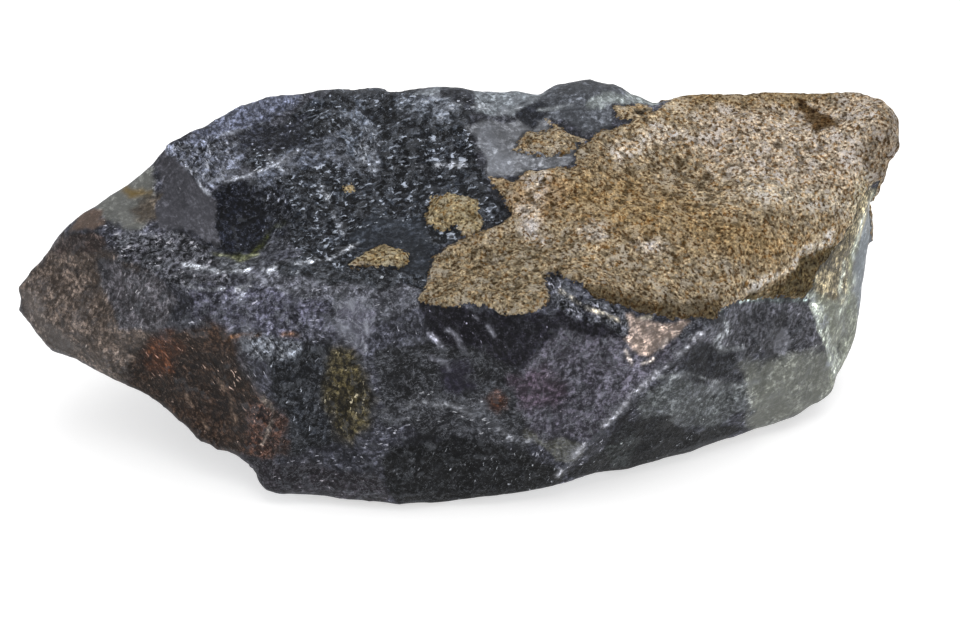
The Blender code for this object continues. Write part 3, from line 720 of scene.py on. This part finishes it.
# The rind between its patches, and each patch: its colour, the softness of its edge, and its outline.
BASE_RIND = "#857760"
RIND_PATCHES = {
    "lower lobe": ("#766a55", 3.0, [
        (420, 310), (428, 262), (470, 240), (540, 250), (552, 300), (515, 322)]),
    "ochre": ("#7f6c4e", 7.0, [
        (550, 182), (590, 172), (640, 176), (700, 206), (800, 240), (775, 262), (700, 250), (620, 232),
        (556, 212)]),
    "ochre strip": ("#806b4f", 3.5, [(500, 182), (560, 176), (572, 190), (540, 230), (512, 205)]),
    "upper right": ("#998c7a", 8.0, [
        (700, 100), (890, 95), (890, 160), (850, 190), (760, 195), (690, 150)]),
    "far edge": ("#7c6b50", 3.0, [(690, 90), (830, 84), (835, 100), (760, 108), (690, 108)]),
    "white ridge": ("#a99e8e", 3.0, [
        (612, 152), (640, 136), (670, 126), (676, 134), (640, 150), (620, 162)]),
    "white band": ("#a39889", 2.5, [
        (528, 180), (545, 172), (546, 200), (540, 226), (546, 246), (530, 240), (524, 205)]),
    "white knob": ("#9d9386", 2.5, [(580, 232), (594, 224), (608, 230), (600, 244), (586, 244)]),
    "white spot": ("#9d9386", 2.5, [(642, 244), (658, 240), (668, 248), (656, 254), (645, 252)]),
    "light rim": ("#a79c8a", 1.2, [
        (728, 300), (760, 282), (800, 258), (832, 232), (834, 240), (802, 264), (762, 287), (732, 304)]),
    "upper light": ("#a39885", 4.0, [
        (745, 180), (780, 188), (850, 200), (852, 212), (790, 206), (750, 196)]),
    "right band": ("#463c28", 1.5, [
        (738, 302), (764, 288), (804, 264), (834, 242), (842, 246), (814, 300), (760, 302)]),
    "edge fibres": ("#958b74", 2.0, [
        (838, 242), (856, 205), (866, 176), (880, 180), (862, 215), (846, 250)]),
    "nose": ("#74695a", 3.0, [(868, 130), (898, 115), (900, 170), (874, 188), (864, 160)]),
    "groove": ("#4d3c26", 0.8, [
        (800, 102), (808, 104), (820, 118), (838, 122), (836, 128), (816, 124), (803, 112)]),
    # The dark lip is partly the rind's own stain and partly painted shade under its rolled-over edge.
    "lip stain and painted shade": ("#463c2b", 2.5, [
        (552, 276), (580, 278), (624, 294), (680, 300), (722, 296), (726, 322), (660, 324), (600, 310),
        (560, 290)]),
    "black specks": ("#28251f", 0.8, [(630, 106), (652, 104), (658, 112), (640, 119), (628, 116)]),
    "left islands": ("#7f7257", 1.0, [
        (340, 180), (490, 190), (486, 236), (440, 236), (410, 270), (340, 270)]),
}

def linear(colour):
    """An sRGB hex colour as linear red, green and blue."""
    parts = np.array([int(colour[place:place + 2], 16) / 255 for place in (1, 3, 5)])
    return np.where(parts <= 0.04045, parts / 12.92, ((parts + 0.055) / 1.055) ** 2.4)


def painted(value, patch_value, cover):
    """A value with a patch's laid over it as far as the patch covers."""
    cover = cover.reshape(-1, *[1] * (value.ndim - 1))
    return value + (patch_value - value) * cover


def lay_shares(degrees):
    """How much each set of flecks shows, for flecks that lie at this angle."""
    turned = np.radians(degrees - np.array(FLECK_LIES))
    shares = np.clip(np.cos(2 * turned), 0, 1)
    return shares / shares.sum()


# The flint's look from all sides, from the tones of its facets and from slow swells.
whole = np.ones((len(form), 1))
tone = 0.75 * facet_tones[0] + 0.3 * facet_tones[1] + drift(70, [(16.0, 0.45), (5.0, 0.2)])
tint = painted(whole * linear(HIDDEN_DARK), linear(HIDDEN_PALE), np.clip(tone, 0, 1) ** 1.8)
iron = smooth_step(drift(72, [(16.0, 1.0), (4.0, 0.4)]) + 0.3 * facet_tones[0], 0.4, 0.7)
tint = painted(tint, linear(HIDDEN_BROWN), 0.85 * iron)
flecks = np.clip(0.9 * facet_tones[1] - 0.1 + drift(75, [(6.0, 0.3)]), 0, 0.8) * (1 - 0.5 * iron)
film = np.clip(1.1 * facet_tones[0] - 0.35 + drift(74, [(9.0, 0.5)]), 0, 1) * (1 - iron)
base_colour, base_flecks, base_degrees = BASE_FLINT
lay = whole * lay_shares(base_degrees)
for seed, degrees in enumerate((75, 135), start=76):
    lay = painted(lay, lay_shares(degrees), smooth_step(drift(seed, [(11.0, 1.0)]), 0.1, 0.35))

# Its look in the picture: the patches in their order, and then the thin marks.
ragged = drift(60, PATCH_RAGGED)
front_tint, front_flecks = whole * linear(base_colour), whole[:, 0] * base_flecks
front_film, front_lay = film, lay
for colour, softness, fleck, milk, degrees, outline in FLINT_PATCHES.values():
    cover = smooth_step(inside_outline(places, outline) + ragged, -softness / 2, softness / 2)
    front_tint = painted(front_tint, linear(colour), cover)
    front_flecks = painted(front_flecks, fleck, cover)
    front_film = painted(front_film, milk, cover)
    front_lay = painted(front_lay, lay_shares(degrees), cover * LAY_SHARE)
front_tint = front_tint * (0.8 + 0.4 * facet_tones[1])[:, None]
broken_line = smooth_step(drift(85, [(2.2, 1.0), (1.0, 0.6)]), -0.5, 0.3)
strays = MARK_STRAYS * np.stack([swell(form, 3.0, seed) for seed in (87, 88)], axis=1)
for colour, half_width, shown, line in THIN_MARKS.values():
    away = line_distance(places + strays, line) / half_width
    cover = shown * broken_line * np.exp(-0.5 * away**2)
    front_tint = painted(front_tint, MARK_STRENGTH * linear(colour), cover)
tint = painted(tint, front_tint, in_view)
fleck_tint = FLECK_BRIGHTNESS * (0.5 + 0.5 * tint / tint.mean(axis=1, keepdims=True))
flecks = painted(flecks, front_flecks, in_view)
film = painted(film, front_film, in_view)
lay = painted(lay, front_lay, in_view)

rind_tone = smooth_step(drift(80, [(8.0, 1.0), (3.0, 0.5)]), -0.6, 0.9)
rind_tint = linear(BASE_RIND) * (0.85 + 0.3 * rind_tone)[:, None]
front_rind_tint = rind_tint
for colour, softness, outline in RIND_PATCHES.values():
    cover = smooth_step(inside_outline(places, outline) + 1.5 * ragged, -softness / 2, softness / 2)
    front_rind_tint = painted(front_rind_tint, linear(colour), cover)
rind_tint = painted(rind_tint, front_rind_tint, in_view)

# The finest relief
# The flint is hackly, with small leaning facets, where it is full of flecks, and the rind stands
# proud of it with pits and grains. Sizes and heights are in mm.

HACKLES = [(4.2, 0.19, 0.4), (2.1, 0.2, 0.22), (1.1, 0.18, 0.1)]
RIND_SWELLS = [(5.0, 0.35), (2.2, 0.22), (1.1, 0.18), (0.75, 0.13)]

# This brings the middle of the finished stone over the origin.
CENTRING = np.array([-0.88, 0.12, 0.0])

height = RIND_HEIGHT * (rind_cover - 0.5) + rind_cover * drift(20, RIND_SWELLS)
hackly = (1 - rind_cover) * (0.15 + 0.85 * smooth_step(flecks, 0.2, 0.9)) * (0.2 + 0.8 * calm)
for seed, (size, lean, most) in enumerate(HACKLES, start=10):
    height += hackly * np.clip(facets(form, size, lean, seed)[0], -most, most)
points = body + body_out * (height * flatness)[:, None]
points[:, 2] = np.maximum(points[:, 2], 0)

# How far each point stands out from the mean around it: ridges are above nought, and creases below.
around = neighbour_mean(neighbour_mean(points, edges), edges)
standing = np.sum((points - around) * outward(points, triangles), axis=1)

mesh = bpy.data.meshes.new("flint_stone")
mesh.from_pydata(((points + CENTRING) * MM).tolist(), [], triangles.tolist())
mesh.polygons.foreach_set("use_smooth", np.ones(len(triangles), bool))
for name, values in {"rind": rind, "flecks": flecks, "film": film, "standing": standing}.items():
    kept = mesh.attributes.new(name, "FLOAT", "POINT")
    kept.data.foreach_set("value", values.astype(np.float32))
for name, values in {"tint": tint, "fleck_tint": fleck_tint, "rind_tint": rind_tint, "lay": lay}.items():
    kept = mesh.attributes.new(name, "FLOAT_COLOR", "POINT")
    kept.data.foreach_set("color", np.concatenate([values, whole], axis=1).astype(np.float32).ravel())
stone = bpy.data.objects.new("flint_stone", mesh)
bpy.context.scene.collection.objects.link(stone)

# The surface
# Broken flint and the rind that it grew, never worked or polished. The flint is waxy, so its breaks
# shine softly and show depth where they are dark, and the rind is as dull as sandstone.

FLINT_IOR = 1.54
FLINT_SHINE = 0.12
RIND_ROUGHNESS = 0.95
BUMP_STRENGTH = 0.9
BUMP_DEPTH = 0.6 * MM

# Milky film, wisps and a web of cracks in the flint, and a painted highlight on its ridges and painted
# shade in its creases.
MILK = "#8a8e98"
WISP = "#a4a8b2"
CRACK = "#9a9ea8"
RIDGE_HIGHLIGHT = "#83878f"
CREASE_SHADE = "#0e0f13"

# How many times its tint the rind's gaps and grain tops are, in red, green and blue, and its rusty and
# its bleached grains. Darker gaps and lighter tops follow the grains' bump height, so they are painted
# shade and a painted highlight over the gaps' own brown. Its pits have a colour of their own, and its
# creases a painted shade.
SHADED_GAP = (0.62, 0.42, 0.24)
LIT_TOP = (2.5, 2.55, 2.65)
RUSTY = (1.65, 1.05, 0.35)
BLEACHED = (2.6, 2.9, 3.7)
RIND_PIT = "#3a2c17"
RIND_CREASE_SHADE = "#3d2f1a"

material = bpy.data.materials.new("broken flint with rind")
material.use_nodes = True
tree = material.node_tree
tree.nodes.clear()

# What a kind of node is set to where a call doesn't say otherwise.
USUAL = {
    "MapRange": {"interpolation_type": "SMOOTHSTEP"},
    "Math": {"operation": "MULTIPLY"},
    "Mix": {"data_type": "RGBA"},
}


def add(kind, *values, out=None, size_mm=None, **named):
    """Adds a node, and gives these values or links to the inputs that it shows, in their order.

    A name with a capital is an input, and any other is a setting. A text is a hex colour. The size is
    how many mm wide a pattern's features are. What comes back is the output asked for, or the first.
    """
    node = tree.nodes.new("ShaderNode" + kind)
    if size_mm:
        named["Scale"] = 1 / (size_mm * MM)
    for name, value in {**USUAL.get(kind, {}), **named}.items():
        if name[0].islower():
            setattr(node, name, value)
    inputs = list(zip([socket for socket in node.inputs if socket.enabled], values))
    inputs += [(node.inputs[name], value) for name, value in named.items() if name[0].isupper()]
    for socket, value in inputs:
        if isinstance(value, bpy.types.NodeSocket):
            tree.links.new(value, socket)
        else:
            socket.default_value = (*linear(value), 1.0) if isinstance(value, str) else value
    return node.outputs[out] if out else next((end for end in node.outputs if end.enabled), None)


def strength(*factors):
    """How strongly something shows: its factors multiplied together.

    A factor in brackets is a value, the ends of its range, and what those become if not 0 and 1.
    """
    shares = [add("MapRange", *factor) if isinstance(factor, tuple) else factor for factor in factors]
    product = shares[0]
    for share in shares[1:]:
        product = add("Math", product, share)
    return product


def crack_lines(place, size_mm, width, **look):
    """Thin wandering lines: 1 along a middling level of a cloudy noise, falling to 0 at this width."""
    level = add("Math", add("TexNoise", place, size_mm=size_mm, **look), 0.5, operation="SUBTRACT")
    return strength((add("Math", level, operation="ABSOLUTE"), 0.0, width, 1.0, 0.0))


def chip_tone(place, size_mm):
    """A chance tone from 0 to 1 for each of many angular chips about this many mm wide."""
    return add("SeparateColor", add("TexVoronoi", place, size_mm=size_mm, Randomness=1.0, out="Color"))


def drawn_out(place, degrees, stretch):
    """Object places turned about Y and shrunk along the way that the flecks lie, which draws them out."""
    turned = add("VectorRotate", place, Angle=math.radians(degrees), rotation_type="Y_AXIS")
    return add("VectorMath", turned, (1 / stretch, 1 / stretch, 1.0), operation="MULTIPLY")


place = add("TexCoord", out="Object")
tint_in, fleck_tint_in, rind_tint_in, lay_in = (
    add("Attribute", attribute_name=name, out="Color")
    for name in ("tint", "fleck_tint", "rind_tint", "lay"))
flecks_in, film_in, rind_in, standing_in = (
    add("Attribute", attribute_name=name, out="Fac")
    for name in ("flecks", "film", "rind", "standing"))

# The flint's body: chips lighter and darker, mottling and streaks, weakest where it is clear.
wobble = add("TexNoise", place, size_mm=1.4, Detail=4.0, Roughness=0.65, out="Color")
chip_place = add("VectorMath", wobble, [1.8 * MM] * 3, place, operation="MULTIPLY_ADD")
mottle = add("TexNoise", place, size_mm=3.2, Detail=9.0, Roughness=0.72)
fine = add("TexNoise", place, size_mm=0.8, Detail=3.0, Roughness=0.7)
lies = []
for degrees in FLECK_LIES:
    drawn = drawn_out(place, degrees, 2.8)
    lies.append(add("TexNoise", drawn, size_mm=0.5, Detail=3.0, Roughness=0.62, Distortion=0.6))
streaks = add("VectorMath", add("CombineXYZ", *lies), lay_in, operation="DOT_PRODUCT")
body_shade = strength(
    (mottle, 0.36, 0.64, 0.45, 1.7),
    (fine, 0.4, 0.6, 0.4, 1.65),
    (streaks, 0.36, 0.64, 0.35, 1.8),
    (chip_tone(chip_place, 6.0), 0.0, 1.0, 0.75, 1.25),
    (chip_tone(chip_place, 2.6), 0.0, 1.0, 0.5, 1.5),
    (chip_tone(chip_place, 0.9), 0.0, 1.0, 0.4, 1.65),
)
shown_shade = add("Math", flecks_in, 1.1, 0.16, operation="MULTIPLY_ADD")
flint = add("Mix", shown_shade, tint_in, add("Mix", 1.0, tint_in, body_shade, blend_type="MULTIPLY"))

# On it lie milky clouds, wisps, a web of cracks, curls, and pale flecks along the streaks, and then a
# painted highlight on its ridges and painted shade in its creases.
clouds = add("TexNoise", place, size_mm=5.0, Detail=9.0, Roughness=0.7, Distortion=1.2)
cloud_chips = strength((chip_tone(chip_place, 1.6), 0.0, 1.0, 0.15, 0.8))
wisps = crack_lines(drawn_out(place, 20.0, 1.8), 4.5, 0.012, Detail=9.0, Roughness=0.62, Distortion=1.8)
web = crack_lines(place, 1.8, 0.022, Detail=6.0, Roughness=0.62, Distortion=1.5)
curls = crack_lines(chip_place, 1.1, 0.03, Detail=3.0, Roughness=0.6, Distortion=1.0)
fleck_rise = add("Math", flecks_in, 0.13, streaks, operation="MULTIPLY_ADD")
fleck_groups = add("TexNoise", place, size_mm=2.6, Detail=4.0)
for colour, factors in (
    (MILK, [(clouds, 0.48, 0.62), film_in, cloud_chips, (streaks, 0.38, 0.6, 0.3, 1.0)]),
    (WISP, [wisps, film_in, (fine, 0.3, 0.55), 0.8]),
    (CRACK, [web, (fine, 0.4, 0.6), film_in, 0.7]),
    (fleck_tint_in, [curls, (fine, 0.42, 0.58), flecks_in, 0.35]),
    (fleck_tint_in, [(fleck_rise, 0.69, 0.735), (fleck_groups, 0.38, 0.58, 0.15, 1.0)]),
    # Painted light: a highlight on ridges, where the surface stands out, and shade in creases.
    (RIDGE_HIGHLIGHT, [(standing_in, 0.02, 0.08, 0.0, 0.12)]),
    (CREASE_SHADE, [(standing_in, -0.08, -0.012, 0.6, 0.0)]),
):
    flint = add("Mix", strength(*factors), flint, colour)

# The rind: sand-like grains with brown gaps, ochre to tan, here and there rusty, bleached or pitted.
# Its gaps are darkened and its grain tops lightened as painted shade and highlight, and its creases get
# painted shade.
grain = add("TexNoise", place, size_mm=0.6, Detail=2.0, Roughness=0.55)
grain_cells = add("TexVoronoi", place, size_mm=0.6, Randomness=1.0)
grain_tone = chip_tone(place, 0.6)
clumps = add("TexNoise", place, size_mm=1.7, Detail=4.0, Roughness=0.65)
bleaching = add("TexNoise", place, size_mm=3.2, Detail=7.0, Roughness=0.7)
pits = add("TexNoise", place, size_mm=0.8)
# Grains lighter in their middles and darker at their edges, as their bump: painted shade, times the
# sand's own clumps and chance tones.
grain_shade = strength(
    (grain_cells, 0.1, 0.65, 1.3, 0.7),
    (clumps, 0.36, 0.64, 0.6, 1.35),
    (grain_tone, 0.0, 1.0, 0.75, 1.25),
)
# Gaps darker and grain tops lighter with the bump height: painted shade and a painted highlight.
shaded_gap, lit_top, rusty, bleached = (
    add("Mix", 1.0, rind_tint_in, (*times, 1.0), blend_type="MULTIPLY")
    for times in (SHADED_GAP, LIT_TOP, RUSTY, BLEACHED))
sandy = add("Mix", strength((grain, 0.32, 0.6)), shaded_gap, lit_top)
sandy = add("Mix", 1.0, sandy, grain_shade, blend_type="MULTIPLY")
for colour, factors in (
    (rusty, [(grain_tone, 0.84, 0.88, 0.0, 0.3)]),
    (bleached, [(grain_tone, 0.06, 0.1, 0.5, 0.0)]),
    (bleached, [(bleaching, 0.52, 0.6, 0.0, 0.75), (grain, 0.34, 0.54)]),
    (RIND_PIT, [(pits, 0.32, 0.38, 0.8, 0.0)]),
    # Painted shade in the rind's creases.
    (RIND_CREASE_SHADE, [(standing_in, -0.09, -0.02, 0.6, 0.0)]),
):
    sandy = add("Mix", strength(*factors), sandy, colour)

# Flint and rind meet at a ragged edge.
edge_grain = strength((add("TexNoise", place, size_mm=0.7), 0.3, 0.7, -0.35, 0.35))
rind_share = strength((add("Math", rind_in, edge_grain, operation="ADD"), 0.0, 0.18))
flint_roughness = strength((mottle, 0.3, 0.7, 0.38, 0.62))
flint_height = add("Math", streaks, 0.5, add("Math", mottle, 0.9), operation="MULTIPLY_ADD")
rind_height = add("Math", grain, 2.4, add("Math", grain_cells, -1.0), operation="MULTIPLY_ADD")
surface_height = add("Mix", rind_share, flint_height, rind_height, data_type="FLOAT")
shader = add(
    "BsdfPrincipled",
    add("Mix", rind_share, flint, sandy),
    Roughness=add("Mix", rind_share, flint_roughness, RIND_ROUGHNESS, data_type="FLOAT"),
    Normal=add("Bump", Strength=BUMP_STRENGTH, Distance=BUMP_DEPTH, Height=surface_height),
    IOR=FLINT_IOR,
    **{"Specular IOR Level": FLINT_SHINE},
)
add("OutputMaterial", shader)
mesh.materials.append(material)
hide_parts("flint_nodule")
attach(stone, "root")

# The studio
# A plain white floor that glows a little, so that it stays white, and white air, with a broad lamp
# over the stone and a weaker one in front of it on the right. Sizes here are in metres.

FLOOR_REACH = 2.0
FLOOR_LOOK = {
    "Base Color": (0.72, 0.72, 0.72, 1.0),
    "Roughness": 0.9,
    "Emission Color": (1.0, 1.0, 1.0, 1.0),
    "Emission Strength": 0.55,
}
AIR_LOOK = {"Color": (1.0, 1.0, 1.0, 1.0), "Strength": 0.6}

# Each lamp's place, its size and its power in watts. Both are turned to the middle of the stone.
LAMPS = {
    "top lamp": ((0.15, 0.05, 0.85), 1.0, 4.2),
    "front lamp": ((0.35, -0.9, 0.45), 0.8, 1.6),
}
LAMPS_AIM = Vector((0, 0, 0.03))

floor_mesh = bpy.data.meshes.new("studio_floor")
floor_corners = [(x * FLOOR_REACH, y * FLOOR_REACH, 0) for x, y in ((-1, -1), (1, -1), (1, 1), (-1, 1))]
floor_mesh.from_pydata(floor_corners, [], [(0, 1, 2, 3)])
floor = bpy.data.objects.new("studio_floor", floor_mesh)
bpy.context.scene.collection.objects.link(floor)
paint = bpy.data.materials.new("white studio floor")
paint.use_nodes = True
for name, value in FLOOR_LOOK.items():
    paint.node_tree.nodes["Principled BSDF"].inputs[name].default_value = value
floor_mesh.materials.append(paint)

air = bpy.data.worlds.new("white air")
air.use_nodes = True
for name, value in AIR_LOOK.items():
    air.node_tree.nodes["Background"].inputs[name].default_value = value
bpy.context.scene.world = air

for name, (spot, size, power) in LAMPS.items():
    lamp = bpy.data.lights.new(name, "AREA")
    lamp.size = size
    lamp.energy = power
    holder = bpy.data.objects.new(name, lamp)
    holder.location = spot
    holder.rotation_euler = (LAMPS_AIM - Vector(spot)).to_track_quat("-Z", "Y").to_euler()
    bpy.context.scene.collection.objects.link(holder)

camera_data = bpy.data.cameras.new("picture camera")
camera_data.lens = LENS
camera_data.sensor_width = SENSOR
camera = bpy.data.objects.new("picture camera", camera_data)
camera.location = (EYE + CENTRING) * MM
camera.rotation_euler = Vector(SIGHT).to_track_quat("-Z", "Y").to_euler()
bpy.context.scene.collection.objects.link(camera)
bpy.context.scene.camera = camera
bpy.context.scene.view_settings.view_transform = "Standard"
